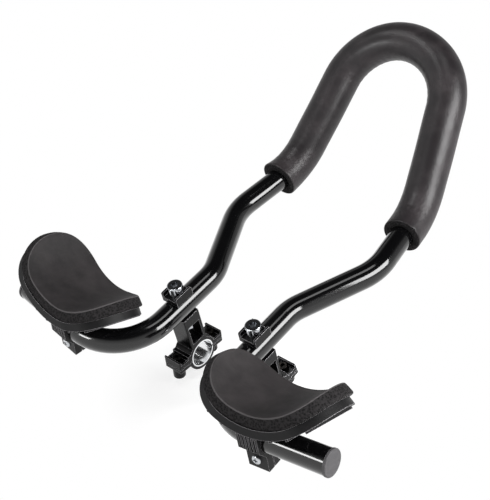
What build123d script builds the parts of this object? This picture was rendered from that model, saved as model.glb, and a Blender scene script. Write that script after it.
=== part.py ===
from build123d import *
import os
from math import asin, atan2, cos, degrees, hypot, radians, sin, sqrt

# Clip-on aero bar for a bicycle: one bent tube with a foam sleeve round its front loop, two brackets
# that clamp the handlebar and carry the tube, and an arm pad on each outward tube end.
# Millimetres and degrees.  X points to the rider's right, Y forward and Z up.  The origin is the middle
# of the handlebar axis.  Everything is drawn with the arms level, and at the end it is turned about
# the handlebar axis by arm_rise.

# Bent tube, right-hand half; half gaps are measured from the middle plane to the tube axis
tube_diameter = 22.2
tube_wall = 1.6
arm_rise = 15.5
bar_height = 61.0
clamp_half_gap = 45.5
elbow_back = 80.5
waist_forward = 46.0
shoulder_half_gap = 82.5
shoulder_forward = 123.5
grip_foot_half_gap = 72.7
grip_foot_forward = 207.0
loop_rise = 42.0
loop_reach = 87.6
loop_radius = 60.0
end_half_gap = 174.0
end_sweep = 13.5
end_lift = 14.0
elbow_radius = 51.5
waist_radius = 40.0
shoulder_radius = 53.0
grip_foot_radius = 65.0

# Foam sleeve on the loop; the two covers are the straight tube it hides behind the loop's lower bends
sleeve_diameter = 37.0
sleeve_clearance = 0.1
left_sleeve_cover = 3.0
right_sleeve_cover = 10.5
sleeve_edge = 2.5

# Plugs in the tube ends
plug_flange_diameter = 23.0
plug_flange_thickness = 2.4
plug_depth = 13.0
plug_wall = 2.0
plug_clearance = 0.1
plug_edge = 0.8

# Handlebar clamp: bracket above the split, cap below it, shim in the bore
handlebar_diameter = 25.4
shim_wall = 1.2
shim_clearance = 0.05
shim_slit = 1.6
ring_wall = 3.0
bracket_width = 20.0
split_tilt = 8.0
split_gap = 1.2
column_depth = 20.0
leg_thickness = 3.0
beam_thickness = 11.0
window_floor = 1.6
window_corner = 0.5
cradle_drop = 9.5
cradle_clearance = 0.1
bracket_edge = 0.8
tray_height = 8.0
tray_side_height = 4.6
tray_floor = 3.0
tray_wall = 1.8
cap_flange = 3.6
boss_diameter = 11.8
boss_length = 16.0
boss_edge = 1.5

# Clamp bolts and nuts
clamp_bolt_diameter = 5.0
clamp_head_diameter = 8.5
clamp_head_height = 5.0
clamp_head_edge = 0.6
clamp_socket_flats = 4.0
clamp_socket_depth = 2.5
clamp_nut_flats = 8.0
clamp_nut_height = 4.0
high_bolt_inset = 6.5
low_bolt_inset = 3.9
bolt_clearance = 0.4
nut_clearance = 0.2
head_clearance = 0.5

# Saddle on top of the tube, its bolt, washer and nut
saddle_length = 20.0
saddle_lip_height = 4.6
saddle_lip_thickness = 2.0
saddle_floor = 4.3
saddle_skirt = 0.8
saddle_corner = 1.6
saddle_bolt_diameter = 8.0
saddle_head_diameter = 14.2
saddle_head_height = 8.6
saddle_head_edge = 1.0
saddle_socket_flats = 6.0
saddle_socket_depth = 4.5
saddle_washer_thickness = 2.2
saddle_nut_flats = 13.0
saddle_nut_height = 6.5
bolt_tail = 2.5

# Arm pad: a trough across the tube end, foam on a ribbed shell
left_pad_half_gap = 112.0
right_pad_half_gap = 109.2
left_pad_offset = 4.0
right_pad_offset = 5.2
left_pad_roll = 5.7
right_pad_roll = 0.2
left_pad_pitch = -28.0
right_pad_pitch = -30.8
trough_radius = 62.0
trough_half_angle = 55.5
pad_back = 27.0
pad_front = 48.0
pad_back_corner = 38.5
pad_end_flat = 2.5
foam_thickness = 10.4
foam_edge = 2.0
shell_floor = 3.0
shell_seat = 0.6
shell_overhang = 0.4
shell_end_inset = 5.0
shell_rim_height = 7.0
shell_rim_wall = 2.4
shell_corner_cross = 0.02
rib_thickness = 2.0
rib_reach = 1.8
rib_pitch = 11.0
rib_count = 8
tube_relief = 1.0

# Pad clamp: rear block under the shell, front jaw, cross screw and nut
clamp_lean = 21.5
jaw_width = 20.0
jaw_wall = 3.5
cradle_wall = 2.4
jaw_clearance = 0.15
jaw_gap = 0.8
jaw_split_height = 8.0
jaw_shoulder = 4.0
lug_thickness = 7.0
lug_shoulder = 13.2
lug_bottom = 29.0
slot_count = 5
slot_pitch = 3.5
slot_width = 1.6
slot_depth = 1.5
pad_screw_drop = 19.0
pad_screw_diameter = 5.0
pad_screw_head_diameter = 8.4
pad_screw_head_height = 2.8
pad_screw_head_edge = 1.7
pad_screw_cross_span = 4.6
pad_screw_cross_width = 1.2
pad_screw_cross_depth = 1.4
pad_nut_flats = 8.0
pad_nut_height = 4.0
pad_nut_seat = 3.0

# Countersunk screws that hold the shell on the rear block
shell_screw_back = 14.0
shell_screw_spacing = 11.0
shell_screw_diameter = 3.0
shell_screw_head_diameter = 6.0
shell_screw_head_height = 1.8
shell_screw_length = 8.0

# Sizes that follow from the ones above
tube_radius = tube_diameter / 2
bore_radius = handlebar_diameter / 2 + shim_wall
ring_radius = bore_radius + ring_wall
bolt_places = (-ring_radius - high_bolt_inset, ring_radius + low_bolt_inset)
ear_end = clamp_head_diameter / 2 + head_clearance + tray_wall
ear_span = bolt_places[1] - bolt_places[0] + 2 * ear_end
ear_middle = (bolt_places[0] + bolt_places[1]) / 2
bracket_top = bar_height - cradle_drop
window_top = bracket_top - beam_thickness
window_width = column_depth - 2 * leg_thickness
saddle_seat = bar_height + tube_radius + saddle_floor
saddle_width = saddle_head_diameter + head_clearance + 2 * saddle_lip_thickness
jaw_bore = tube_radius + jaw_clearance
jaw_reach = jaw_bore + jaw_wall
lug_face = jaw_gap / 2 + lug_thickness
pad_seat = jaw_bore + cradle_wall
shell_radius = trough_radius + foam_thickness
trough_centre = pad_seat + shell_seat + shell_floor + shell_radius
clamp_turn = Rot(clamp_lean, 0, 0)
pad_front_corner = pad_back + pad_front - pad_back_corner - pad_end_flat

across = Rot(0, 90, 0)
turned = Rot(0, 0, 180)
raised = Rot(arm_rise, 0, 0)
lateral = Rot(-90, 0, 0)
split_frame = Rot(-split_tilt, 0, 0)


def hexagon(flats, height):
    return extrude(RegularPolygon(flats / 2, 6, major_radius=False), height)


def bar_corners():
    # Right-hand corners of the tube axis, from the loop's tangent point back to the tube end
    lean = radians(loop_rise)
    leg_span = hypot(grip_foot_half_gap, loop_reach)
    leg = sqrt(leg_span**2 - loop_radius**2)
    leg_angle = atan2(loop_reach, -grip_foot_half_gap) - asin(loop_radius / leg_span)
    leg_rise = leg * sin(leg_angle)
    tangent = Vector(
        grip_foot_half_gap + leg * cos(leg_angle),
        grip_foot_forward + leg_rise * cos(lean),
        bar_height + leg_rise * sin(lean),
    )
    grip_foot = Vector(grip_foot_half_gap, grip_foot_forward, bar_height)
    shoulder = Vector(shoulder_half_gap, shoulder_forward, bar_height)
    waist = Vector(clamp_half_gap, waist_forward, bar_height)
    elbow = Vector(clamp_half_gap, -elbow_back, bar_height)
    tube_end = Vector(end_half_gap, end_sweep - elbow_back, bar_height + end_lift)
    return [tangent, grip_foot, shoulder, waist, elbow, tube_end]


def mirrored(point):
    return Vector(-point.X, point.Y, point.Z)


def loop_arc(tangent):
    lean = radians(loop_rise)
    crown = loop_reach + loop_radius
    apex = Vector(0, grip_foot_forward + crown * cos(lean), bar_height + crown * sin(lean))
    return ThreePointArc(mirrored(tangent), apex, tangent)


def looped_path(left_points, right_points, radii):
    # One line from the left end over the loop to the right end
    left = FilletPolyline(*left_points, radius=radii)
    right = FilletPolyline(*right_points, radius=radii)
    return Wire(left.edges() + loop_arc(right_points[0]).edges() + right.edges())


def bar_path():
    points = bar_corners()
    radii = [grip_foot_radius, shoulder_radius, waist_radius, elbow_radius]
    return looped_path([mirrored(p) for p in points], points, radii)


def sleeve_path():
    # The sleeve ends on the straight run between the shoulder and the loop's lower bend
    tangent, grip_foot, shoulder = bar_corners()[:3]
    run = (shoulder - grip_foot).normalized()
    leg = (tangent - grip_foot).normalized()
    bend = radians(180 - run.get_angle(leg))
    tangent_length = grip_foot_radius * sin(bend / 2) / cos(bend / 2)
    left_end = mirrored(grip_foot + run * (tangent_length + left_sleeve_cover))
    right_end = grip_foot + run * (tangent_length + right_sleeve_cover)
    left_points = [mirrored(tangent), mirrored(grip_foot), left_end]
    return looped_path(left_points, [tangent, grip_foot, right_end], [grip_foot_radius])


def pipe(path, outer_radius, inner_radius):
    start = Plane(origin=path @ 0, z_dir=path % 0)
    return sweep(start * Circle(outer_radius), path) - sweep(start * Circle(inner_radius), path)


def aero_tube():
    tube = pipe(bar_path(), tube_radius, tube_radius - tube_wall)
    drill = Cylinder((saddle_bolt_diameter + bolt_clearance) / 2, 2 * tube_diameter)
    for side in (-1, 1):
        tube -= Pos(side * clamp_half_gap, 0, bar_height) * drill
    return tube


def foam_sleeve():
    sleeve = pipe(sleeve_path(), sleeve_diameter / 2, tube_radius + sleeve_clearance)
    rims = [edge for edge in sleeve.edges().filter_by(GeomType.CIRCLE)
            if abs(edge.radius - sleeve_diameter / 2) < sleeve_clearance and edge.is_closed]
    return fillet(rims, sleeve_edge)


def end_plug():
    # Drawn along the end run, flange outwards
    inner_radius = tube_radius - tube_wall - plug_clearance
    flange = Pos(0, 0, plug_flange_thickness / 2) * Cylinder(
        plug_flange_diameter / 2, plug_flange_thickness)
    flange = fillet(flange.edges().sort_by(Axis.Z)[-1], plug_edge)
    spigot = Pos(0, 0, -plug_depth / 2) * Cylinder(inner_radius, plug_depth)
    hollow = Pos(0, 0, -plug_depth / 2) * Cylinder(inner_radius - plug_wall, plug_depth)
    elbow, tube_end = bar_corners()[-2:]
    return Plane(origin=tube_end, z_dir=tube_end - elbow) * (flange + spigot - hollow)


def clamp_ring():
    return across * Cylinder(ring_radius, bracket_width)


def bore():
    return across * Cylinder(bore_radius, 2 * bracket_width)


def bracket():
    # Column with a window, ring round the bore and a bolt tray on each side of it
    body = Pos(0, 0, bracket_top / 2) * Box(bracket_width, column_depth, bracket_top)
    body = fillet(body.edges().filter_by(Axis.Z), bracket_edge)
    trays = Pos(0, ear_middle, tray_height / 2) * Box(bracket_width, ear_span, tray_height)
    trays = fillet(trays.edges().filter_by(Axis.Z), bracket_edge)
    body += clamp_ring() + split_frame * trays
    window_height = window_top - ring_radius - window_floor
    window = Plane.YZ * RectangleRounded(window_width, window_height, window_corner)
    window = Pos(0, 0, window_top - window_height / 2) * extrude(window, bracket_width, both=True)
    cradle = Pos(0, 0, bar_height) * lateral * Cylinder(tube_radius + cradle_clearance, 2 * column_depth)
    saddle_drill = Pos(0, 0, window_top) * Cylinder(
        (saddle_bolt_diameter + bolt_clearance) / 2, 4 * beam_thickness)
    body -= window + bore()
    body -= cradle
    body -= saddle_drill
    pocket_length = clamp_head_diameter + 2 * head_clearance
    pocket = Pos(0, 0, tray_floor + tray_height / 2) * Box(
        bracket_width - 2 * tray_wall, pocket_length, tray_height)
    side_cut = Pos(0, 0, tray_side_height + tray_height / 2) * Box(
        2 * bracket_width, pocket_length, tray_height)
    bolt_hole = Cylinder((clamp_bolt_diameter + bolt_clearance) / 2, 4 * tray_height)
    for place in bolt_places:
        body -= split_frame * Pos(0, place, 0) * (pocket + side_cut + bolt_hole)
    lower_half = Box(2 * bracket_width, 2 * ear_span, 4 * ring_radius)
    below = Pos(0, 0, split_gap / 2 - 2 * ring_radius) * lower_half
    return body - split_frame * below


def lower_cap():
    # Lower half of the ring, with a nut boss under each tray
    flange = Pos(0, ear_middle, -split_gap / 2 - cap_flange / 2) * Box(bracket_width, ear_span, cap_flange)
    cap = clamp_ring() + fillet(flange.edges().filter_by(Axis.Z), bracket_edge)
    boss = Pos(0, 0, -boss_length / 2) * Cylinder(boss_diameter / 2, boss_length)
    boss = fillet(boss.edges().sort_by(Axis.Z)[0], boss_edge)
    bolt_hole = Cylinder((clamp_bolt_diameter + bolt_clearance) / 2, 4 * boss_length)
    nut_pocket = Pos(0, 0, -boss_length) * hexagon(clamp_nut_flats + nut_clearance, clamp_nut_height)
    for place in bolt_places:
        cap += Pos(0, place, 0) * boss
    cap -= bore()
    for place in bolt_places:
        cap -= Pos(0, place, 0) * (bolt_hole + nut_pocket)
    upper_half = Box(2 * bracket_width, 2 * ear_span, 4 * ring_radius)
    above = Pos(0, 0, 2 * ring_radius - split_gap / 2) * upper_half
    return split_frame * (cap - above)


def bar_shim():
    # Sleeve between the bore and the handlebar, slit so that the clamp can close it
    sleeve = across * Cylinder(bore_radius - shim_clearance, bracket_width)
    sleeve -= across * Cylinder(handlebar_diameter / 2, 2 * bracket_width)
    slit = Pos(0, bore_radius, 0) * Box(2 * bracket_width, bore_radius, shim_slit)
    return split_frame * (sleeve - slit)


def socket_screw(diameter, length, head_diameter, head_height, head_edge, flats, socket_depth):
    # Head stands on the origin, shank points down
    head = Pos(0, 0, head_height / 2) * Cylinder(head_diameter / 2, head_height)
    head = fillet(head.edges().sort_by(Axis.Z)[-1], head_edge)
    shank = Pos(0, 0, -length / 2) * Cylinder(diameter / 2, length)
    socket = Pos(0, 0, head_height - socket_depth) * hexagon(flats, socket_depth)
    return head + shank - socket


def hex_nut(flats, height, hole):
    return hexagon(flats, height) - Cylinder(hole / 2, 4 * height)


def clamp_bolts():
    length = tray_floor + boss_length - nut_clearance
    bolt = socket_screw(clamp_bolt_diameter, length, clamp_head_diameter, clamp_head_height,
                        clamp_head_edge, clamp_socket_flats, clamp_socket_depth)
    pair = [Pos(0, place, tray_floor) * bolt for place in bolt_places]
    return split_frame * Compound(children=pair)


def clamp_nuts():
    nut = hex_nut(clamp_nut_flats, clamp_nut_height, clamp_bolt_diameter + nut_clearance)
    pair = [Pos(0, place, -boss_length) * nut for place in bolt_places]
    return split_frame * Compound(children=pair)


def saddle():
    # Channel that straddles the tube; its lips stand along both sides of the bolt head
    bottom = bar_height + tube_radius - saddle_skirt
    top = saddle_seat + saddle_lip_height
    body = Pos(0, 0, (bottom + top) / 2) * Box(saddle_width, saddle_length, top - bottom)
    body = fillet(body.edges().filter_by(Axis.X).group_by(Axis.Z)[-1], saddle_corner)
    channel_width = saddle_width - 2 * saddle_lip_thickness
    body -= Pos(0, 0, saddle_seat + top / 2) * Box(channel_width, 2 * saddle_length, top)
    body -= Pos(0, 0, bar_height) * lateral * Cylinder(tube_radius + cradle_clearance, 2 * saddle_length)
    return body - Pos(0, 0, saddle_seat) * Cylinder((saddle_bolt_diameter + bolt_clearance) / 2, top)


def saddle_washer():
    washer = Cylinder(saddle_head_diameter / 2, saddle_washer_thickness)
    washer -= Cylinder((saddle_bolt_diameter + bolt_clearance) / 2, 2 * saddle_washer_thickness)
    return Pos(0, 0, saddle_seat + saddle_washer_thickness / 2) * washer


def saddle_bolt():
    seat = saddle_seat + saddle_washer_thickness
    length = seat - window_top + saddle_nut_height + bolt_tail
    bolt = socket_screw(saddle_bolt_diameter, length, saddle_head_diameter, saddle_head_height,
                        saddle_head_edge, saddle_socket_flats, saddle_socket_depth)
    return Pos(0, 0, seat) * bolt


def saddle_nut():
    nut = hex_nut(saddle_nut_flats, saddle_nut_height, saddle_bolt_diameter + nut_clearance)
    return Pos(0, 0, window_top - saddle_nut_height) * nut


def pad_frame(half_gap, pitch):
    # On the right-hand end run: X outwards along the tube, Y forward along the pad, Z up through it
    elbow, tube_end = bar_corners()[-2:]
    run = (tube_end - elbow).normalized()
    origin = elbow + run * ((half_gap - clamp_half_gap) / run.X)
    up = Vector(0, 0, 1) - run * run.Z
    return Plane(origin=origin, x_dir=run, z_dir=up).location * Rot(pitch, 0, 0)


def trough_axis(offset):
    return Axis((offset, 0, trough_centre), (0, 1, 0))


def corner_cut(radius, reach, side, height, cross):
    # What rounding one corner takes away; the corner's edge stands on the origin's Z.
    # The arc may stand a hair past both edges, to cross them cleanly instead of just touching
    centre = radius - cross
    square = Pos(0, reach, 0) * Box(2 * radius, 2 * radius, height)
    inside = Pos(-centre, reach - side * centre, 0) * Cylinder(radius, 2 * height)
    return square - inside


def trough_slab(offset, roll, top_radius, thickness, margin=0, end_margin=0, cross=0):
    # Slab bent round the forearm, its four corners rounded in plan, rolled outwards about the forearm
    back = pad_back + margin
    front = pad_front + margin
    half_angle = trough_half_angle + degrees(end_margin / trough_radius)
    section = Plane.YZ.offset(offset) * Pos(
        (front - back) / 2, trough_centre - top_radius - thickness / 2) * Rectangle(back + front, thickness)
    axis = trough_axis(offset)
    slab = revolve(section.rotate(axis, -half_angle), axis, 2 * half_angle)
    cut_place = Pos(offset, 0, trough_centre - top_radius - thickness / 2)
    cut_height = top_radius + thickness
    for side, reach, corner in ((-1, -back, pad_back_corner), (1, front, pad_front_corner)):
        cut = corner_cut(corner + margin, reach, side, cut_height, cross)
        slab -= (cut_place * cut).rotate(axis, -half_angle)
        slab -= (cut_place * mirror(cut, about=Plane.YZ)).rotate(axis, half_angle)
    return slab.rotate(axis, -roll)


def arm_pad(offset, roll):
    # A tube along the forearm, cut to the pad's plan as it is seen square to each end
    axis = trough_axis(offset)
    under_radius = trough_radius + foam_thickness
    reach = 2 * under_radius
    width = pad_back + pad_front
    plan = Pos(-reach / 2, (pad_front - pad_back) / 2) * Rectangle(reach, width)
    plan = fillet(plan.vertices().sort_by_distance((0, -pad_back))[0], pad_back_corner)
    plan = fillet(plan.vertices().sort_by_distance((0, pad_front))[0], pad_front_corner)
    end = extrude(plan, reach, both=True)
    centre = Pos(offset, 0, trough_centre)
    foam = centre * Rot(90, 0, 0) * (Cylinder(under_radius, 4 * width) - Cylinder(trough_radius, 4 * width))
    foam &= (centre * end).rotate(axis, -trough_half_angle)
    foam &= (centre * mirror(end, about=Plane.YZ)).rotate(axis, trough_half_angle)
    # The underside is the largest face and the hollow top comes next
    top = foam.faces().sort_by(SortBy.AREA)[-2]
    return fillet(top.edges(), foam_edge).rotate(axis, -roll)


def shell_screw_places():
    return [Pos(side * shell_screw_spacing / 2, -shell_screw_back, 0) for side in (-1, 1)]


def shell_screw_top():
    # The countersunk heads lie just under the shell's upper surface
    return trough_centre - shell_radius - jaw_clearance


def clamp_room(margin):
    # Space of the pad clamp under the shell's seat
    height = 2 * (pad_seat + jaw_reach)
    room = clamp_turn * Box(jaw_width + 2 * margin, 2 * (jaw_reach + margin), height)
    return room & Pos(0, 0, pad_seat - height) * Box(4 * jaw_width, 4 * height, 2 * height)


def pad_shell(offset, roll):
    # Thin trough with a rim turned down all round, ribs across its underside and a flat seat
    depth = pad_back + pad_front
    inset = -shell_end_inset
    outer = trough_slab(offset, roll, shell_radius, shell_rim_height,
                        shell_overhang, inset, shell_corner_cross)
    hollow = trough_slab(offset, roll, shell_radius + shell_floor, shell_rim_height,
                         shell_overhang - shell_rim_wall, inset - shell_rim_wall, shell_corner_cross)
    shell = outer - hollow
    # Ribs and seat are rooted in the middle of the floor and of the rim
    root_radius = shell_radius + shell_floor / 2
    rib_height = shell_rim_height + rib_reach - shell_floor / 2
    limits = trough_slab(offset, roll, root_radius, rib_height,
                         shell_overhang - shell_rim_wall / 2, inset - shell_rim_wall / 2, shell_corner_cross)
    rib = Pos(offset, (pad_front - pad_back) / 2, trough_centre - root_radius - rib_height / 2) * Box(
        rib_thickness, 2 * depth, 2 * rib_height)
    for place in range(rib_count):
        angle = (place - (rib_count - 1) / 2) * rib_pitch
        shell += rib.rotate(trough_axis(offset), angle - roll) & limits
    seat_height = 4 * shell_floor
    seat = Pos(0, 0, pad_seat + seat_height / 2) * Box(jaw_width, 2 * pad_back, seat_height)
    shell += seat & limits
    shell -= clamp_room(tube_relief)
    shell -= across * Cylinder(tube_radius + tube_relief, 4 * depth)
    screw_hole = Cylinder((shell_screw_diameter + bolt_clearance) / 2, 4 * pad_seat)
    head_room = shell_screw_head_height + jaw_clearance
    sink = Pos(0, 0, shell_screw_top() - head_room / 2) * Cone(
        shell_screw_diameter / 2, shell_screw_head_diameter / 2 + jaw_clearance, head_room)
    clear = Pos(0, 0, shell_screw_top() + shell_floor) * Cylinder(
        shell_screw_head_diameter / 2 + jaw_clearance, 2 * shell_floor)
    for place in shell_screw_places():
        shell -= place * (screw_hole + sink + clear)
    return shell


def shell_screws():
    top = shell_screw_top()
    head = Pos(0, 0, top - shell_screw_head_height / 2) * Cone(
        shell_screw_diameter / 2, shell_screw_head_diameter / 2, shell_screw_head_height)
    shank = Pos(0, 0, top - shell_screw_length / 2) * Cylinder(shell_screw_diameter / 2, shell_screw_length)
    return Compound(children=[place * (head + shank) for place in shell_screw_places()])


def pad_screw_axis():
    # Z of the cross screw points to the rear
    return clamp_turn * Pos(0, 0, -pad_screw_drop) * Rot(90, 0, 0)


def clamp_half(outline):
    # Block along the tube, bored for it and drilled for the cross screw
    block = clamp_turn * extrude(Plane.YZ * make_face(outline), jaw_width / 2, both=True)
    block -= across * Cylinder(jaw_bore, 2 * jaw_width)
    return block - pad_screw_axis() * Cylinder((pad_screw_diameter + bolt_clearance) / 2, 4 * jaw_reach)


def pad_clamp():
    # Rear half of the clamp: sloping seat under the shell, slotted back and screw lug
    top = 2 * pad_seat
    split = jaw_split_height + jaw_gap / 2
    block = clamp_half(Polyline(
        (-jaw_reach, top), (jaw_reach, top), (jaw_reach, split), (-jaw_gap / 2, split),
        (-jaw_gap / 2, -lug_bottom), (-lug_face, -lug_bottom), (-lug_face, -lug_shoulder),
        (-jaw_reach, -jaw_shoulder), close=True))
    block -= Pos(0, 0, pad_seat + top) * Box(2 * jaw_width, 4 * lug_bottom, 2 * top)
    slot_top = pad_seat - slot_depth
    slot_height = slot_top + jaw_shoulder
    for place in range(slot_count):
        across_slot = (place - (slot_count - 1) / 2) * slot_pitch
        block -= clamp_turn * Pos(across_slot, -jaw_reach, slot_top - slot_height / 2) * Box(
            slot_width, 2 * slot_depth, slot_height)
    tapped_radius = (shell_screw_diameter + nut_clearance) / 2
    tapped = Pos(0, 0, pad_seat) * Cylinder(tapped_radius, 2 * shell_screw_length)
    for place in shell_screw_places():
        block -= place * tapped
    return block


def pad_jaw():
    # Front half of the clamp
    jaw = clamp_half(Polyline(
        (jaw_gap / 2, jaw_split_height), (jaw_reach, jaw_split_height), (jaw_reach, -jaw_shoulder),
        (lug_face, -lug_shoulder), (lug_face, -lug_bottom), (jaw_gap / 2, -lug_bottom), close=True))
    nut_pocket = Pos(0, 0, -lug_face) * hexagon(pad_nut_flats + nut_clearance, pad_nut_seat)
    return jaw - pad_screw_axis() * nut_pocket


def pad_screw():
    length = 2 * lug_face - pad_nut_seat + pad_nut_height + jaw_gap
    head_body = Cylinder(pad_screw_head_diameter / 2, pad_screw_head_height)
    head = Pos(0, 0, pad_screw_head_height / 2) * head_body
    head = fillet(head.edges().sort_by(Axis.Z)[-1], pad_screw_head_edge)
    shank = Pos(0, 0, -length / 2) * Cylinder(pad_screw_diameter / 2, length)
    arm = Box(pad_screw_cross_span, pad_screw_cross_width, pad_screw_cross_depth)
    recess = Pos(0, 0, pad_screw_head_height - pad_screw_cross_depth / 2) * (arm + Rot(0, 0, 90) * arm)
    return pad_screw_axis() * Pos(0, 0, lug_face) * (head + shank - recess)


def pad_nut():
    nut = hex_nut(pad_nut_flats, pad_nut_height, pad_screw_diameter + nut_clearance)
    return pad_screw_axis() * Pos(0, 0, pad_nut_seat - pad_nut_height - lug_face) * nut


clamp_pieces = {
    "bracket": bracket(),
    "lower_cap": lower_cap(),
    "bar_shim": bar_shim(),
    "clamp_bolts": clamp_bolts(),
    "clamp_nuts": clamp_nuts(),
    "saddle": saddle(),
    "saddle_washer": saddle_washer(),
    "saddle_bolt": saddle_bolt(),
    "saddle_nut": saddle_nut(),
}
pad_pieces = {
    "pad_clamp": pad_clamp(),
    "pad_jaw": pad_jaw(),
    "pad_screw": pad_screw(),
    "pad_nut": pad_nut(),
    "shell_screws": shell_screws(),
}

pieces = {"aero_tube": aero_tube(), "grip_sleeve": foam_sleeve()}
right_plug = end_plug()
pieces["right_end_plug"] = right_plug
pieces["left_end_plug"] = mirror(right_plug, about=Plane.YZ)

# Both brackets are the same casting; the right-hand one is turned end for end about its saddle bolt
for name, piece in clamp_pieces.items():
    pieces["left_" + name] = Pos(-clamp_half_gap, 0, 0) * piece
    pieces["right_" + name] = Pos(clamp_half_gap, 0, 0) * turned * piece

# Each pad is set by itself: along the tube end, turned about it, and sideways and rolled on its clamp
settings = (
    ("left_", left_pad_half_gap, left_pad_pitch, left_pad_offset, left_pad_roll),
    ("right_", right_pad_half_gap, right_pad_pitch, right_pad_offset, right_pad_roll),
)
for side, half_gap, pitch, offset, roll in settings:
    padding = {"pad_shell": pad_shell(offset, roll), "arm_pad": arm_pad(offset, roll)}
    for name, piece in (pad_pieces | padding).items():
        placed = pad_frame(half_gap, pitch) * piece
        pieces[side + name] = placed if side == "right_" else mirror(placed, about=Plane.YZ)

os.makedirs("parts", exist_ok=True)
for name, piece in pieces.items():
    export_step(raised * piece, f"parts/{name}.step")
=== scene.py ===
import math

import bmesh
import bpy
from mathutils import Matrix, Vector


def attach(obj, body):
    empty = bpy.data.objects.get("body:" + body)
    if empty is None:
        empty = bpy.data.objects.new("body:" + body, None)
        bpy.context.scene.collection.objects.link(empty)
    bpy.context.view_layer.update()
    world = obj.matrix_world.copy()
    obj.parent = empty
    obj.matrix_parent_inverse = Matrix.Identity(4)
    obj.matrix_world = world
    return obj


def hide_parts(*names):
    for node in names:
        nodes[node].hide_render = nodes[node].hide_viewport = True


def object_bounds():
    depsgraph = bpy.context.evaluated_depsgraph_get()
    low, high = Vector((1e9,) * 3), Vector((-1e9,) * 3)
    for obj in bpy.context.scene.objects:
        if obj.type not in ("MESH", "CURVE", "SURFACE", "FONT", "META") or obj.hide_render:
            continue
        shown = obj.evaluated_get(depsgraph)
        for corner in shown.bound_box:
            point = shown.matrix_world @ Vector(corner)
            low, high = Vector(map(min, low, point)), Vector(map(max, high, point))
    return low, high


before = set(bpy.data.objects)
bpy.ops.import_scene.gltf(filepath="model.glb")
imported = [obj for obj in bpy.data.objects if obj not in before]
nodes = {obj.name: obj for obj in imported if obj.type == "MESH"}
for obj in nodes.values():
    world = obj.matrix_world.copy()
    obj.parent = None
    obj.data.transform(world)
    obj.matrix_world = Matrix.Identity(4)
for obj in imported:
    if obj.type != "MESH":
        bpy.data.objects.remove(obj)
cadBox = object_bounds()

mm = 0.001
scene = bpy.context.scene
scene.view_settings.view_transform = "Standard"
print("frame loaded,", len(nodes), "nodes")


def linearColour(hexText):
    # sRGB hex to the linear values that sockets hold
    channels = [int(hexText[i:i + 2], 16) / 255 for i in (0, 2, 4)]
    return [c / 12.92 if c <= 0.04045 else ((c + 0.055) / 1.055) ** 2.4 for c in channels] + [1]


def addNode(tree, kind, settings={}, links={}):
    # a setting goes to the socket of that name or number, or else to the node's own property
    node = tree.nodes.new(kind)
    for name, value in settings.items():
        if name == "stops":  # a ramp's positions and hex colours
            elements = node.color_ramp.elements
            while len(elements) < len(value):
                elements.new(0.5)
            for element, (position, colour) in zip(elements, value):
                element.position = position
                element.color = linearColour(colour)
        elif isinstance(name, int) or name in node.inputs:
            node.inputs[name].default_value = value
        else:
            setattr(node, name, value)
    for name, output in links.items():
        tree.links.new(output, node.inputs[name])
    return node


def startMaterial(name, settings):
    material = bpy.data.materials.new(name)
    material.use_nodes = True
    tree = material.node_tree
    shader = tree.nodes["Principled BSDF"]
    for socket, value in settings.items():
        shader.inputs[socket].default_value = value
    place = addNode(tree, "ShaderNodeTexCoord").outputs["Object"]
    return material, tree, shader, place


# how far a rounded normal turns from the face, as a cosine, where the painted edge highlight starts and
# where it is full
edgeHighlight = {"starts": 0.985, "full": 0.8}


def paintedEdgeHighlight(tree, radiusMm):
    # the rounded normal, and the painted edge highlight's mask: 0 on flats and 1 along sharp edges
    edge = addNode(tree, "ShaderNodeBevel", {"samples": 8, "Radius": radiusMm * mm})
    face = addNode(tree, "ShaderNodeNewGeometry")
    turn = addNode(tree, "ShaderNodeVectorMath", {"operation": "DOT_PRODUCT"},
                   {0: edge.outputs["Normal"], 1: face.outputs["Normal"]})
    mask = addNode(tree, "ShaderNodeMapRange", {
        "From Min": edgeHighlight["starts"], "From Max": edgeHighlight["full"]}, {"Value": turn.outputs["Value"]})
    return edge.outputs["Normal"], mask.outputs["Result"]


# gloss black stove enamel on the bent alloy tube: deep black, hard streaks of light, a faint orange peel
tubeEnamel = {
    "colour": "070708",
    "dust": "0c0c0d",
    "roughness": (0.12, 0.2),
    "peelMm": 2.2,
    "peelDepthMm": 0.006,
    "cloudMm": 60,
}


def makeTubeEnamel():
    material, tree, shader, place = startMaterial("glossBlackEnamel", {
        "IOR": 1.5, "Specular IOR Level": 0.2, "Coat Weight": 1.0, "Coat Roughness": 0.08, "Coat IOR": 1.5})
    cloud = addNode(tree, "ShaderNodeTexNoise", {
        "Scale": 1 / (tubeEnamel["cloudMm"] * mm), "Detail": 5, "Roughness": 0.6}, {"Vector": place})
    shade = addNode(tree, "ShaderNodeValToRGB", {
        "stops": ((0.4, tubeEnamel["colour"]), (0.75, tubeEnamel["dust"]))}, {"Fac": cloud.outputs["Fac"]})
    gloss = addNode(tree, "ShaderNodeMapRange", {
        "From Min": 0.35, "From Max": 0.7, "To Min": tubeEnamel["roughness"][0],
        "To Max": tubeEnamel["roughness"][1]}, {"Value": cloud.outputs["Fac"]})
    peel = addNode(tree, "ShaderNodeTexNoise", {
        "Scale": 1 / (tubeEnamel["peelMm"] * mm), "Detail": 2}, {"Vector": place})
    bump = addNode(tree, "ShaderNodeBump", {
        "Strength": 0.4, "Distance": tubeEnamel["peelDepthMm"] * mm}, {"Height": peel.outputs["Fac"]})
    tree.links.new(shade.outputs["Color"], shader.inputs["Base Color"])
    tree.links.new(gloss.outputs["Result"], shader.inputs["Roughness"])
    tree.links.new(bump.outputs["Normal"], shader.inputs["Normal"])
    return material
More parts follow.
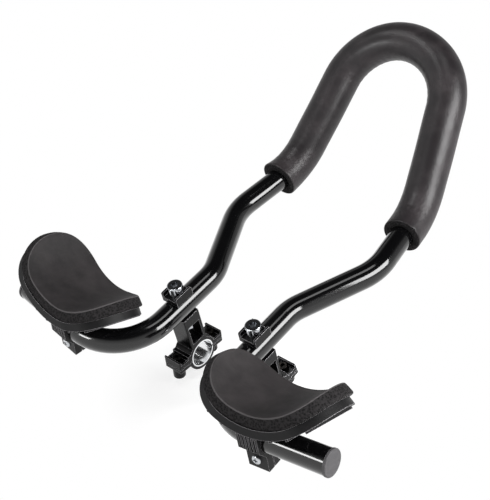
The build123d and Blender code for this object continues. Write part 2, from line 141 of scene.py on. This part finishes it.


# die-cast alloy, powder coated satin black: fine pebble grain, with a pale painted highlight along the edges
castingCoat = {
    "colour": "0a0a0b",
    "dusty": "100f10",
    # edge: pale colour painted along sharp edges as a highlight
    "edge": "b2b0b3",
    "roughness": (0.22, 0.36),
    "grainMm": 0.7,  # real grain is nearer 0.3 mm, drawn coarser so that it shows
    "grainDepthMm": 0.03,
    "edgeMm": 0.9,
    "patchMm": 12,
}


def makeCastingCoat():
    material, tree, shader, place = startMaterial("satinBlackPowderCoat", {
        "IOR": 1.45, "Specular IOR Level": 0.22})
    patch = addNode(tree, "ShaderNodeTexNoise", {
        "Scale": 1 / (castingCoat["patchMm"] * mm), "Detail": 6, "Roughness": 0.65}, {"Vector": place})
    shade = addNode(tree, "ShaderNodeValToRGB", {
        "stops": ((0.42, castingCoat["colour"]), (0.78, castingCoat["dusty"]))},
        {"Fac": patch.outputs["Fac"]})
    gloss = addNode(tree, "ShaderNodeMapRange", {
        "From Min": 0.3, "From Max": 0.7, "To Min": castingCoat["roughness"][0],
        "To Max": castingCoat["roughness"][1]}, {"Value": patch.outputs["Fac"]})
    # painted highlight: the pale edge colour is mixed in along sharp edges
    rounded, rubbed = paintedEdgeHighlight(tree, castingCoat["edgeMm"])
    paint = addNode(tree, "ShaderNodeMix", {
        "data_type": "RGBA", 7: linearColour(castingCoat["edge"])}, {0: rubbed, 6: shade.outputs["Color"]})
    grain = addNode(tree, "ShaderNodeTexNoise", {
        "Scale": 1 / (castingCoat["grainMm"] * mm), "Detail": 3}, {"Vector": place})
    bump = addNode(tree, "ShaderNodeBump", {
        "Strength": 0.45, "Distance": castingCoat["grainDepthMm"] * mm},
        {"Height": grain.outputs["Fac"], "Normal": rounded})
    tree.links.new(paint.outputs[2], shader.inputs["Base Color"])
    tree.links.new(gloss.outputs["Result"], shader.inputs["Roughness"])
    tree.links.new(bump.outputs["Normal"], shader.inputs["Normal"])
    return material


# bright aluminium sleeve, turned on a lathe: mirror bands broken by fine tool rings along the bore
shimMetal = {
    "colour": "f5f6f7",
    "dull": "e2e4e6",
    "roughness": (0.1, 0.2),
    "ringMm": 1.2,  # the real feed is about 0.15 mm, drawn coarser so that it shows
    "ringDepthMm": 0.004,
    "smearMm": 6,
}


def makeShimMetal():
    material, tree, shader, place = startMaterial("turnedAluminium", {"Metallic": 1.0})
    rings = addNode(tree, "ShaderNodeTexWave", {
        "wave_type": "BANDS", "bands_direction": "X", "Scale": math.pi / (10 * shimMetal["ringMm"] * mm),
        "Distortion": 0.6, "Detail": 2}, {"Vector": place})
    smear = addNode(tree, "ShaderNodeTexNoise", {
        "Scale": 1 / (shimMetal["smearMm"] * mm), "Detail": 4}, {"Vector": place})
    shade = addNode(tree, "ShaderNodeValToRGB", {
        "stops": ((0.35, shimMetal["colour"]), (0.75, shimMetal["dull"]))}, {"Fac": smear.outputs["Fac"]})
    gloss = addNode(tree, "ShaderNodeMapRange", {
        "To Min": shimMetal["roughness"][0], "To Max": shimMetal["roughness"][1]},
        {"Value": smear.outputs["Fac"]})
    bump = addNode(tree, "ShaderNodeBump", {
        "Strength": 0.3, "Distance": shimMetal["ringDepthMm"] * mm}, {"Height": rings.outputs["Fac"]})
    tree.links.new(shade.outputs["Color"], shader.inputs["Base Color"])
    tree.links.new(gloss.outputs["Result"], shader.inputs["Roughness"])
    tree.links.new(bump.outputs["Normal"], shader.inputs["Normal"])
    return material


# black-oxided socket bolts: dark oily metal, a little browner where the oxide is thin
boltOxide = {
    "colour": "1b1a1a",
    "thin": "35312e",
    "roughness": (0.28, 0.45),
    "patchMm": 2.5,
    "edgeMm": 0.25,
}


def makeBoltOxide():
    material, tree, shader, place = startMaterial("blackOxideSteel", {"Metallic": 1.0})
    patch = addNode(tree, "ShaderNodeTexNoise", {
        "Scale": 1 / (boltOxide["patchMm"] * mm), "Detail": 5}, {"Vector": place})
    shade = addNode(tree, "ShaderNodeValToRGB", {
        "stops": ((0.4, boltOxide["colour"]), (0.8, boltOxide["thin"]))}, {"Fac": patch.outputs["Fac"]})
    gloss = addNode(tree, "ShaderNodeMapRange", {
        "To Min": boltOxide["roughness"][0], "To Max": boltOxide["roughness"][1]},
        {"Value": patch.outputs["Fac"]})
    edge = addNode(tree, "ShaderNodeBevel", {"samples": 6, "Radius": boltOxide["edgeMm"] * mm})
    tree.links.new(shade.outputs["Color"], shader.inputs["Base Color"])
    tree.links.new(gloss.outputs["Result"], shader.inputs["Roughness"])
    tree.links.new(edge.outputs["Normal"], shader.inputs["Normal"])
    return material


# chromium-plated steel fasteners: near-mirror, with the faint haze and fine scratches of handled plating
chromePlate = {
    "colour": "d3d5d8",
    "haze": "a9adb2",
    "roughness": (0.06, 0.2),
    "hazeMm": 3,
}


def makeChromePlate():
    material, tree, shader, place = startMaterial("platedSteel", {"Metallic": 1.0})
    haze = addNode(tree, "ShaderNodeTexNoise", {
        "Scale": 1 / (chromePlate["hazeMm"] * mm), "Detail": 6, "Roughness": 0.7}, {"Vector": place})
    shade = addNode(tree, "ShaderNodeValToRGB", {
        "stops": ((0.35, chromePlate["colour"]), (0.8, chromePlate["haze"]))}, {"Fac": haze.outputs["Fac"]})
    gloss = addNode(tree, "ShaderNodeMapRange", {
        "To Min": chromePlate["roughness"][0], "To Max": chromePlate["roughness"][1]},
        {"Value": haze.outputs["Fac"]})
    tree.links.new(shade.outputs["Color"], shader.inputs["Base Color"])
    tree.links.new(gloss.outputs["Result"], shader.inputs["Roughness"])
    return material


# black glass-filled nylon, injection moulded in a spark-eroded tool: even matt grain, with a pale painted
# highlight along the edges
nylonGrain = {
    "colour": "111112",
    "pale": "1a191a",
    # edge: pale colour painted along sharp edges as a highlight
    "edge": "9c999c",
    "roughness": (0.42, 0.58),
    "grainMm": 0.8,  # the tool's grain is about 0.2 mm, drawn coarser so that it shows
    "grainDepthMm": 0.05,
    "flowMm": 14,
    "edgeMm": 0.9,
}


def makeNylonGrain():
    material, tree, shader, place = startMaterial("mouldedBlackNylon", {
        "IOR": 1.53, "Specular IOR Level": 0.2})
    flow = addNode(tree, "ShaderNodeTexNoise", {
        "Scale": 1 / (nylonGrain["flowMm"] * mm), "Detail": 4, "Distortion": 0.6}, {"Vector": place})
    shade = addNode(tree, "ShaderNodeValToRGB", {
        "stops": ((0.35, nylonGrain["colour"]), (0.75, nylonGrain["pale"]))}, {"Fac": flow.outputs["Fac"]})
    gloss = addNode(tree, "ShaderNodeMapRange", {
        "To Min": nylonGrain["roughness"][0], "To Max": nylonGrain["roughness"][1]},
        {"Value": flow.outputs["Fac"]})
    # painted highlight: the pale edge colour is mixed in along sharp edges
    rounded, rubbed = paintedEdgeHighlight(tree, nylonGrain["edgeMm"])
    skin = addNode(tree, "ShaderNodeMix", {
        "data_type": "RGBA", 7: linearColour(nylonGrain["edge"])}, {0: rubbed, 6: shade.outputs["Color"]})
    grain = addNode(tree, "ShaderNodeTexVoronoi", {
        "Scale": 1 / (nylonGrain["grainMm"] * mm)}, {"Vector": place})
    bump = addNode(tree, "ShaderNodeBump", {
        "Strength": 0.4, "Distance": nylonGrain["grainDepthMm"] * mm},
        {"Height": grain.outputs["Distance"], "Normal": rounded})
    tree.links.new(skin.outputs[2], shader.inputs["Base Color"])
    tree.links.new(gloss.outputs["Result"], shader.inputs["Roughness"])
    tree.links.new(bump.outputs["Normal"], shader.inputs["Normal"])
    return material


# grey polyethylene push-in plugs: waxy, flat face with a faint moulding swirl
plugPlastic = {
    "colour": "464547",
    "pale": "535153",
    "roughness": (0.42, 0.58),
    "swirlMm": 9,
    "grainMm": 0.6,
    "grainDepthMm": 0.03,
    "edgeMm": 0.4,
}


def makePlugPlastic():
    material, tree, shader, place = startMaterial("mouldedGreyPolyethylene", {"IOR": 1.51})
    swirl = addNode(tree, "ShaderNodeTexNoise", {
        "Scale": 1 / (plugPlastic["swirlMm"] * mm), "Detail": 3, "Distortion": 1.2}, {"Vector": place})
    shade = addNode(tree, "ShaderNodeValToRGB", {
        "stops": ((0.35, plugPlastic["colour"]), (0.7, plugPlastic["pale"]))}, {"Fac": swirl.outputs["Fac"]})
    gloss = addNode(tree, "ShaderNodeMapRange", {
        "To Min": plugPlastic["roughness"][0], "To Max": plugPlastic["roughness"][1]},
        {"Value": swirl.outputs["Fac"]})
    edge = addNode(tree, "ShaderNodeBevel", {"samples": 6, "Radius": plugPlastic["edgeMm"] * mm})
    grain = addNode(tree, "ShaderNodeTexNoise", {
        "Scale": 1 / (plugPlastic["grainMm"] * mm), "Detail": 2}, {"Vector": place})
    bump = addNode(tree, "ShaderNodeBump", {
        "Strength": 0.25, "Distance": plugPlastic["grainDepthMm"] * mm},
        {"Height": grain.outputs["Fac"], "Normal": edge.outputs["Normal"]})
    tree.links.new(shade.outputs["Color"], shader.inputs["Base Color"])
    tree.links.new(gloss.outputs["Result"], shader.inputs["Roughness"])
    tree.links.new(bump.outputs["Normal"], shader.inputs["Normal"])
    return material


# closed-cell nitrile foam tube, skin left on: charcoal, soft broad shine, creased and rubbed in patches
gripFoam = {
    "colour": "1e1a1c",
    "rubbed": "383234",
    "roughness": (0.32, 0.47),
    "wrinkleMm": 2.4,  # real wrinkles are about 1 mm apart, drawn coarser so that they show
    "wrinkleDepthMm": 0.42,
    "rubMm": 26,
    "creased": (0.4, 0.62),  # where in the rubbed pattern creases start, and where they are full
}


def makeGripFoam():
    material, tree, shader, place = startMaterial("nitrileFoamSkin", {
        "IOR": 1.45, "Sheen Weight": 0.06, "Sheen Roughness": 0.5})
    rub = addNode(tree, "ShaderNodeTexNoise", {
        "Scale": 1 / (gripFoam["rubMm"] * mm), "Detail": 7, "Roughness": 0.6}, {"Vector": place})
    shade = addNode(tree, "ShaderNodeValToRGB", {
        "stops": ((0.42, gripFoam["colour"]), (0.8, gripFoam["rubbed"]))}, {"Fac": rub.outputs["Fac"]})
    gloss = addNode(tree, "ShaderNodeMapRange", {
        "From Min": 0.3, "From Max": 0.7, "To Min": gripFoam["roughness"][0],
        "To Max": gripFoam["roughness"][1]}, {"Value": rub.outputs["Fac"]})
    wrinkles = addNode(tree, "ShaderNodeTexVoronoi", {
        "feature": "SMOOTH_F1", "Scale": 1 / (gripFoam["wrinkleMm"] * mm)}, {"Vector": place})
    # the skin is creased in some places and smooth in others
    starts, full = gripFoam["creased"]
    creased = addNode(tree, "ShaderNodeMapRange", {"From Min": starts, "From Max": full},
                      {"Value": rub.outputs["Fac"]})
    height = addNode(tree, "ShaderNodeMath", {"operation": "MULTIPLY"},
                     {0: wrinkles.outputs["Distance"], 1: creased.outputs["Result"]})
    bump = addNode(tree, "ShaderNodeBump", {
        "Strength": 0.6, "Distance": gripFoam["wrinkleDepthMm"] * mm}, {"Height": height.outputs[0]})
    tree.links.new(shade.outputs["Color"], shader.inputs["Base Color"])
    tree.links.new(gloss.outputs["Result"], shader.inputs["Roughness"])
    tree.links.new(bump.outputs["Normal"], shader.inputs["Normal"])
    return material


# EVA foam pad, hot pressed: smooth matt skin on top, a pale painted highlight line round its rim, cells on
# the cut side
padFoam = {
    "skin": ("1d1a1b", "343031"),
    # rim: pale colours painted as a highlight line along the pad's top edge
    "rim": ("494647", "595657"),
    "side": ("080808", "2d2b2c"),
    "skinMm": 1.6,  # real grain is about 0.5 mm, drawn coarser so that it shows
    "skinDepthMm": 0.12,
    "cellMm": 1.8,  # real cells are about 0.5 mm, drawn coarser so that they show
    "cellDepthMm": 0.35,
    "pressMm": 28,
}


def makePadFoam(name, surface):
    material, tree, shader, place = startMaterial(name, {
        "IOR": 1.45, "Roughness": 0.9 if surface == "side" else 0.66,
        "Specular IOR Level": 0.25 if surface == "side" else 0.5})
    if surface == "side":
        cells = addNode(tree, "ShaderNodeTexVoronoi", {
            "Scale": 1 / (padFoam["cellMm"] * mm)}, {"Vector": place})
        pattern = height = cells.outputs["Distance"]
        stops, depth = (0.15, 0.7), padFoam["cellDepthMm"]
    else:
        press = addNode(tree, "ShaderNodeTexNoise", {
            "Scale": 1 / (padFoam["pressMm"] * mm), "Detail": 8, "Roughness": 0.65}, {"Vector": place})
        skin = addNode(tree, "ShaderNodeTexNoise", {
            "Scale": 1 / (padFoam["skinMm"] * mm), "Detail": 3}, {"Vector": place})
        pattern, height = press.outputs["Fac"], skin.outputs["Fac"]
        stops, depth = (0.36, 0.7), padFoam["skinDepthMm"]
    shade = addNode(tree, "ShaderNodeValToRGB", {
        "stops": tuple(zip(stops, padFoam[surface]))}, {"Fac": pattern})
    bump = addNode(tree, "ShaderNodeBump", {"Strength": 0.5, "Distance": depth * mm}, {"Height": height})
    tree.links.new(shade.outputs["Color"], shader.inputs["Base Color"])
    tree.links.new(bump.outputs["Normal"], shader.inputs["Normal"])
    return material


finishes = {
    "aero_tube": makeTubeEnamel(),
    "bracket": makeCastingCoat(),
    "bar_shim": makeShimMetal(),
    "clamp_bolts": makeBoltOxide(),
    "saddle_bolt": makeChromePlate(),
    "pad_shell": makeNylonGrain(),
    "end_plug": makePlugPlastic(),
}
sharedFinish = {
    "lower_cap": "bracket", "saddle": "bracket", "clamp_nuts": "clamp_bolts",
    "saddle_washer": "saddle_bolt", "saddle_nut": "saddle_bolt", "pad_screw": "saddle_bolt",
    "pad_nut": "saddle_bolt", "shell_screws": "saddle_bolt",
    "pad_clamp": "pad_shell", "pad_jaw": "pad_shell",
}
for name, node in nodes.items():
    kind = name.removeprefix("left_").removeprefix("right_")
    finish = finishes.get(sharedFinish.get(kind, kind))
    if finish:
        node.data.materials.clear()
        node.data.materials.append(finish)
print("finishes on the CAD nodes")

# the tube's line, as far as the soft pieces need it
bar = {
    "rise": 15.5,
    "height": 61,
    "clampHalfGap": 45.5,
    "elbowBack": 80.5,
    "endHalfGap": 174,
    "endSweep": 13.5,
    "endLift": 14,
    "shoulderHalfGap": 82.5,
    "shoulderForward": 123.5,
    "footHalfGap": 72.7,
    "footForward": 207,
    "loopRise": 42,
    "loopReach": 87.6,
    "loopRadius": 60,
    "footRadius": 65,
}
barTurn = Matrix.Rotation(math.radians(bar["rise"]), 4, "X")


def newPiece(name, bm, materials):
    mesh = bpy.data.meshes.new(name)
    bmesh.ops.recalc_face_normals(bm, faces=bm.faces)
    bm.to_mesh(mesh)
    bm.free()
    for material in materials:
        mesh.materials.append(material)
    for polygon in mesh.polygons:
        polygon.use_smooth = True
    piece = bpy.data.objects.new(name, mesh)
    scene.collection.objects.link(piece)
    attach(piece, "root")
    return piece


def bridgeRings(bm, rings, materialIndex=lambda step: 0):
    # quads between closed rings that hold the same number of points
    for step, (first, second) in enumerate(zip(rings, rings[1:])):
        count = len(first)
        for i in range(count):
            face = bm.faces.new((first[i], first[(i + 1) % count], second[(i + 1) % count], second[i]))
            face.material_index = materialIndex(step)


# foam sleeve round the loop
sleeve = {
    "outer": 18.5,
    "inner": 11.2,
    "leftCover": 3,
    "rightCover": 10.5,
    "endRound": 0.72,
    "leftRun": 30,  # the stretch at the left end that opens out and was cut askew
    "leftSlant": 3.5,
    "leftFlare": 1.2,
    "stepMm": 2.2,
    "around": 56,
    "rippleMm": 9,
    "rippleDepth": 0.1,
    "rippleTwist": 1.3,
    "unevenMm": 0.22,
    "unevenRunMm": (17, 29),
}


def roundedRoute(corners, radii, step):
    # points along straight runs joined by arcs of the given radii, about a step apart
    points = [corners[0]]
    for before, corner, after, radius in zip(corners, corners[1:], corners[2:], radii):
        inward = (before - corner).normalized()
        outward = (after - corner).normalized()
        half = inward.angle(outward) / 2
        start = corner + inward * (radius / math.tan(half))
        centre = corner + (inward + outward).normalized() * (radius / math.sin(half))
        turn = math.pi - 2 * half
        axis = (start - centre).cross(-inward)
        for i in range(math.ceil(radius * turn / step) + 1):
            angle = turn * min(i * step / (radius * turn), 1)
            points.append(centre + Matrix.Rotation(angle, 3, axis) @ (start - centre))
    points.append(corners[-1])
    route = [points[0]]
    for target in points[1:]:
        gap = target - route[-1]
        count = max(1, round(gap.length / step))
        origin = route[-1]
        if gap.length > step / 4:
            route += [origin + gap * (i + 1) / count for i in range(count)]
    return route


def sleeveCorners():
    span = math.hypot(bar["footHalfGap"], bar["loopReach"])
    lean = math.radians(bar["loopRise"])
    legAngle = math.atan2(bar["loopReach"], -bar["footHalfGap"]) - math.asin(bar["loopRadius"] / span)
    crown = -bar["footHalfGap"] * math.tan(legAngle)  # where the two legs would meet
    apex = Vector((0, bar["footForward"] + crown * math.cos(lean), bar["height"] + crown * math.sin(lean)))
    foot = Vector((bar["footHalfGap"], bar["footForward"], bar["height"]))
    shoulder = Vector((bar["shoulderHalfGap"], bar["shoulderForward"], bar["height"]))
    run = (shoulder - foot).normalized()
    bend = math.pi - run.angle(apex - foot)
    reach = bar["footRadius"] * math.tan(bend / 2)
    rightEnd = foot + run * (reach + sleeve["rightCover"])
    leftEnd = foot + run * (reach + sleeve["leftCover"])
    flip = Matrix.Scale(-1, 3, Vector((1, 0, 0)))
    return [rightEnd, foot, apex, flip @ foot, flip @ leftEnd]


def buildSleeve(materials):
    radii = (bar["footRadius"], bar["loopRadius"], bar["footRadius"])
    route = roundedRoute(sleeveCorners(), radii, sleeve["stepMm"])
    last = len(route) - 1
    tangents = [(route[min(i + 1, last)] - route[max(i - 1, 0)]).normalized() for i in range(last + 1)]
    lengths = [0.0]
    for first, second in zip(route, route[1:]):
        lengths.append(lengths[-1] + (second - first).length)
    bm = bmesh.new()
    side = tangents[0].orthogonal().normalized()
    outerRings, innerRings = [], []
    for i, (point, tangent) in enumerate(zip(route, tangents)):
        side = (side - tangent * side.dot(tangent)).normalized()
        other = tangent.cross(side)
        ahead = tangents[min(i + 2, last)] - tangents[max(i - 2, 0)]
        bend = ahead / (4 * sleeve["stepMm"])  # points to the inside of the bend, as long as its curvature
        leftward = max(0, 1 - (lengths[-1] - lengths[i]) / sleeve["leftRun"])  # 1 at the left end
        outerRing, innerRing = [], []
        for k in range(sleeve["around"]):
            angle = 2 * math.pi * k / sleeve["around"]
            away = side * math.cos(angle) + other * math.sin(angle)
            squeeze = max(0, away.dot(bend)) * bar["loopRadius"]
            wave = 2 * math.pi * lengths[i] / sleeve["rippleMm"] + sleeve["rippleTwist"] * math.sin(angle)
            short, long = (lengths[i] / run for run in sleeve["unevenRunMm"])
            uneven = math.sin(short + 2 * angle) * math.sin(long - angle)
            radius = sleeve["outer"] + sleeve["leftFlare"] * leftward ** 2
            radius += sleeve["rippleDepth"] * squeeze * math.sin(wave) + sleeve["unevenMm"] * (uneven - 1)
            # the cut is shorter on its lower side
            slant = sleeve["leftSlant"] * (1 - away.z + away.x) / 2 * leftward
            outerRing.append(bm.verts.new(barTurn @ (point + away * radius - tangent * slant) * mm))
            innerRing.append(bm.verts.new(barTurn @ (point + away * sleeve["inner"] - tangent * slant) * mm))
        outerRings.append(outerRing)
        innerRings.append(innerRing)
    # the cut ends are flat, with a small round at the rim
    for outerRing, innerRing in ((outerRings[0], innerRings[0]), (outerRings[-1], innerRings[-1])):
        bridgeRings(bm, [outerRing, innerRing], lambda step: 1)
    bridgeRings(bm, outerRings)
    bridgeRings(bm, innerRings)
    ends = (set(outerRings[0]), set(outerRings[-1]))
    rims = [edge for edge in bm.edges if any(end.issuperset(edge.verts) for end in ends)]
    bmesh.ops.bevel(bm, geom=rims, offset=sleeve["endRound"] * mm, segments=4, profile=0.5,
                    affect="EDGES", clamp_overlap=True)
    return newPiece("gripFoamSleeve", bm, materials)


grip = buildSleeve([makeGripFoam(), makePadFoam("cutNitrileFoam", "side")])
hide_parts("grip_sleeve")
print("grip sleeve", len(grip.data.polygons), "faces")

# foam pads bent round the forearms
pad = {
    "halfGap": {"left": 112, "right": 109.2},
    "offset": {"left": 4, "right": 5.2},
    "roll": {"left": 5.7, "right": 0.2},
    "pitch": {"left": -28, "right": -30.8},
    "radius": 62,
    "halfAngle": 55.5,
    "back": 27,
    "front": 48,
    "backCorner": 38.5,
    "frontCorner": 34,
    "centreHeight": 89.65,
    "cornerPoints": 14,
    "edgePoints": 12,
    "fillRings": 9,
    "dimple": 0.15,
}
# how far in from the outline and how far down from the top: up the cut side, over the rim, onto the skin
padSection = {
    "side": ((1.6, 10.3), (0.6, 10.0), (0.15, 9.3), (0, 8.2), (0.05, 6), (0.1, 4), (0.2, 2.2), (0.3, 1.2)),
    "rim": ((0.4, 0.7), (0.6, 0.3), (0.8, 0.08)),
    "skin": ((1, -0.02), (1.4, -0.05), (1.9, 0.02), (2.6, 0.1), (3.4, 0.12), (4.5, 0.1), (6, 0.05), (9, 0)),
}


def padFrame(side):
    elbow = Vector((bar["clampHalfGap"], -bar["elbowBack"], bar["height"]))
    tubeEnd = Vector((bar["endHalfGap"], bar["endSweep"] - bar["elbowBack"], bar["height"] + bar["endLift"]))
    run = (tubeEnd - elbow).normalized()
    origin = elbow + run * ((pad["halfGap"][side] - bar["clampHalfGap"]) / run.x)
    up = (Vector((0, 0, 1)) - run * run.z).normalized()
    axes = Matrix((run, up.cross(run), up)).transposed().to_4x4()
    return Matrix.Translation(origin) @ axes @ Matrix.Rotation(math.radians(pad["pitch"][side]), 4, "X")


def padOutline(inset, radius):
    # half of the outline, back to front: distance in from the pad's end, and place along the forearm
    middle = radius * math.sin(math.radians(pad["halfAngle"]))
    outline = []
    for edge, sign, corner in ((pad["back"], -1, pad["backCorner"]), (pad["front"], 1, pad["frontCorner"])):
        arc = corner - inset
        half = []
        for i in range(pad["edgePoints"]):
            half.append((middle + (corner - middle) * i / pad["edgePoints"], sign * (edge - inset)))
        for i in range(pad["cornerPoints"] + 1):
            angle = math.pi / 2 * i / pad["cornerPoints"]
            half.append((corner - arc * math.sin(angle), sign * (edge - corner + arc * math.cos(angle))))
        outline += half if sign < 0 else half[::-1]
    return outline


def buildPad(side, materials):
    place = padFrame(side)
    sections = padSection["side"] + padSection["rim"] + padSection["skin"]
    middleY = (pad["front"] - pad["back"]) / 2
    bm = bmesh.new()

    def ring(inset, depth, scale):
        radius = pad["radius"] + depth
        middle = radius * math.sin(math.radians(pad["halfAngle"]))
        half = [(middle + (p - middle) * scale, middleY + (y - middleY) * scale)
                for p, y in padOutline(inset, radius)]
        loop = []
        for sign, points in ((1, half), (-1, half[::-1][1:-1])):
            for p, y in points:
                angle = math.radians(pad["halfAngle"]) - math.asin(min(p / radius, 1))
                angle = sign * angle + math.radians(pad["roll"][side])
                spot = Vector((pad["offset"][side] + radius * math.sin(angle), y,
                               pad["centreHeight"] - radius * math.cos(angle)))
                spot = barTurn @ (place @ spot)
                if side == "left":
                    spot.x = -spot.x
                loop.append(bm.verts.new(spot * mm))
        return loop

    fill = [(i + 1) / (pad["fillRings"] + 1) for i in range(pad["fillRings"])]
    underside = [ring(sections[0][0], sections[0][1], scale) for scale in fill]
    edge = [ring(inset, depth, 1) for inset, depth in sections]
    top = [ring(sections[-1][0], -pad["dimple"] * (1 - scale) * scale, scale) for scale in fill[::-1]]
    rings = underside + edge + top
    # skin below, then the cut side, the rim and the skin on top
    counts = (len(underside), len(padSection["side"]) - 1, len(padSection["rim"]), len(rings))
    order = [index for index, count in zip((0, 1, 2, 0), counts) for step in range(count)]
    bridgeRings(bm, rings, lambda step: order[step])
    for last in (rings[0], rings[-1]):
        bm.faces.new(last)
    bmesh.ops.remove_doubles(bm, verts=bm.verts, dist=0.01 * mm)
    piece = newPiece(side + "ForearmPad", bm, materials)
    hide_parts(side + "_arm_pad")
    return piece


# the rim material paints a pale highlight line round each pad's top edge
padMaterials = [makePadFoam("pressedEvaFoam", "skin"), makePadFoam("cutEvaFoam", "side"),
                makePadFoam("paintedEvaRimHighlight", "rim")]
for side in ("left", "right"):
    piece = buildPad(side, padMaterials)
    print(side, "pad", len(piece.data.polygons), "faces")

# white table, a wide soft light close on the right, two smaller ones on the left and one overhead
studio = {
    "floorSize": 6,
    "floorGap": 0.2,  # mm below the lowest bolt
    "floorGlow": 0.7,
    "floorPaint": "bebebe",
    "shadowReach": (0.05, 0.12),
    "roomLight": 0.2,
    "walls": ((0, "ffffff"), (0.25, "e4e4e4"), (0.52, "c0c0c0"), (0.64, "6a6a6a"),
              (0.75, "303030"), (1, "202020")),
    "wallLight": (1.1, 0.5),  # behind the rider's end and in front of the loop
    "right": {"azimuth": 97, "elevation": 27, "distance": 0.75, "size": (0.55, 0.34), "power": 7.2},
    "low": {"azimuth": 341, "elevation": 16, "distance": 1.29, "size": (0.3, 0.22), "power": 3.2},
    "high": {"azimuth": 304, "elevation": 61, "distance": 1.2, "size": (0.45, 0.3), "power": 3.4},
    "top": {"azimuth": 80, "elevation": 80, "distance": 1.2, "size": (0.5, 0.35), "power": 1.4},
    "camera": (0.481, -0.5321, 0.5719),
    "cameraAzimuth": 41.09,
    "cameraElevation": 31.77,
    "lens": 71.54,
}


def makeFloor():
    material = bpy.data.materials.new("whiteTable")
    material.use_nodes = True
    tree = material.node_tree
    tree.nodes.clear()
    rays = addNode(tree, "ShaderNodeLightPath").outputs
    mirrored = addNode(tree, "ShaderNodeMath", {"operation": "MAXIMUM"},
                       {0: rays["Is Glossy Ray"], 1: rays["Is Transmission Ray"]})
    shown = addNode(tree, "ShaderNodeMath", {"operation": "MAXIMUM"},
                    {0: rays["Is Camera Ray"], 1: mirrored.outputs[0]})
    # white to the eye, and the thin paint keeps the shadow
    glow = addNode(tree, "ShaderNodeEmission", {
        "Color": linearColour("ffffff"), "Strength": studio["floorGlow"]})
    thinPaint = addNode(tree, "ShaderNodeBsdfDiffuse", {"Color": linearColour(studio["floorPaint"])})
    seen = addNode(tree, "ShaderNodeAddShader", {}, {0: glow.outputs[0], 1: thinPaint.outputs[0]})
    # plain white away from the object
    reach = addNode(tree, "ShaderNodeVectorMath", {"operation": "LENGTH"},
                    {0: addNode(tree, "ShaderNodeTexCoord").outputs["Object"]})
    near, far = studio["shadowReach"]
    fade = addNode(tree, "ShaderNodeMapRange", {"From Min": near, "From Max": far},
                   {"Value": reach.outputs["Value"]})
    white = addNode(tree, "ShaderNodeEmission", {"Color": linearColour("ffffff"), "Strength": 1})
    table = addNode(tree, "ShaderNodeMixShader", {},
                    {0: fade.outputs["Result"], 1: seen.outputs[0], 2: white.outputs[0]})
    paint = addNode(tree, "ShaderNodeBsdfDiffuse", {"Color": linearColour("f4f4f4")})
    mix = addNode(tree, "ShaderNodeMixShader", {},
                  {0: shown.outputs[0], 1: paint.outputs[0], 2: table.outputs[0]})
    addNode(tree, "ShaderNodeOutputMaterial", {}, {"Surface": mix.outputs[0]})
    bpy.ops.mesh.primitive_plane_add(
        size=studio["floorSize"], location=(0, 0, cadBox[0].z - studio["floorGap"] * mm))
    floor = bpy.context.object
    floor.name = "table"
    floor.data.materials.append(material)


def makeRoom():
    world = bpy.data.worlds.new("studioRoom")
    scene.world = world
    world.use_nodes = True
    tree = world.node_tree
    tree.nodes.clear()
    rays = addNode(tree, "ShaderNodeLightPath").outputs
    mirrored = addNode(tree, "ShaderNodeMath", {"operation": "MAXIMUM"},
                       {0: rays["Is Glossy Ray"], 1: rays["Is Transmission Ray"]})
    soft = addNode(tree, "ShaderNodeBackground", {
        "Color": linearColour("ffffff"), "Strength": studio["roomLight"]})
    # pale low walls under a dark ceiling, which keeps gloss black deep
    facing = addNode(tree, "ShaderNodeSeparateXYZ", {},
                     {0: addNode(tree, "ShaderNodeTexCoord").outputs["Generated"]})
    shade = addNode(tree, "ShaderNodeValToRGB", {"stops": studio["walls"]}, {"Fac": facing.outputs["Z"]})
    depth = addNode(tree, "ShaderNodeMapRange", {
        "From Min": -1, "From Max": 1, "To Min": studio["wallLight"][0], "To Max": studio["wallLight"][1]},
        {"Value": facing.outputs["Y"]})
    walls = addNode(tree, "ShaderNodeBackground", {}, {
        "Color": shade.outputs["Color"], "Strength": depth.outputs["Result"]})
    backdrop = addNode(tree, "ShaderNodeBackground", {"Color": linearColour("ffffff"), "Strength": 1})
    room = addNode(tree, "ShaderNodeMixShader", {},
                   {0: mirrored.outputs[0], 1: soft.outputs[0], 2: walls.outputs[0]})
    view = addNode(tree, "ShaderNodeMixShader", {},
                   {0: rays["Is Camera Ray"], 1: room.outputs[0], 2: backdrop.outputs[0]})
    addNode(tree, "ShaderNodeOutputWorld", {}, {"Surface": view.outputs[0]})


def aimed(azimuth, elevation):
    # unit vector from the object towards a place at that azimuth, 0 behind and 90 to the right
    a, e = math.radians(azimuth), math.radians(elevation)
    return Vector((math.sin(a) * math.cos(e), -math.cos(a) * math.cos(e), math.sin(e)))


def makeLamp(name):
    lamp = studio[name]
    data = bpy.data.lights.new(name, "AREA")
    data.shape = "RECTANGLE"
    data.size, data.size_y = lamp["size"]
    data.energy = lamp["power"]
    light = bpy.data.objects.new(name, data)
    scene.collection.objects.link(light)
    centre = (cadBox[0] + cadBox[1]) / 2
    towards = aimed(lamp["azimuth"], lamp["elevation"])
    light.location = centre + towards * lamp["distance"]
    light.rotation_euler = towards.to_track_quat("Z", "Y").to_euler()


def makeCamera():
    data = bpy.data.cameras.new("camera")
    data.lens = studio["lens"]
    camera = bpy.data.objects.new("camera", data)
    scene.collection.objects.link(camera)
    camera.location = studio["camera"]
    towards = aimed(studio["cameraAzimuth"], studio["cameraElevation"])
    camera.rotation_euler = towards.to_track_quat("Z", "Y").to_euler()
    scene.camera = camera


makeFloor()
makeRoom()
for name in ("right", "low", "high", "top"):
    makeLamp(name)
makeCamera()
print("table, room, lamps and camera")
